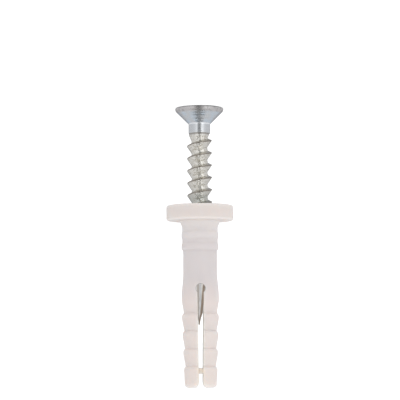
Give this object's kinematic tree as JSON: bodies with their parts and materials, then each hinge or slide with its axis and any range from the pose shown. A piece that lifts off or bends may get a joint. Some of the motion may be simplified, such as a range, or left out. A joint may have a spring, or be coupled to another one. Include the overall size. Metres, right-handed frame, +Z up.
{
  "type": "hammer fixing plug",
  "caption": "Split plastic wall plug with a collar, ribbed shank and barbed legs, holding a countersunk cross-recess hammer screw that stands proud, ready to be driven flush.",
  "frame": {"origin": "on the plug's axis, in the plane of the collar's underside", "axes": "+Z up along the axis towards the tip of the legs, -Y out through the front of the split; the plug stands on the flat of the screw's head"},
  "size_m": [0.011, 0.011, 0.0463],
  "materials": {
    "nylon": "satin, off-white and slightly translucent",
    "zinc_steel": "bright zinc plated"
  },
  "bodies": {
    "plug": {"sleeve": "nylon"},
    "screw": {"hammer_screw": "zinc_steel"}
  },
  "joints": [
    {"name": "screw_drive", "type": "slide", "parent": "plug", "child": "screw", "axis": [0, 0, 1], "range_m": [0, 0.0163]}
  ]
}
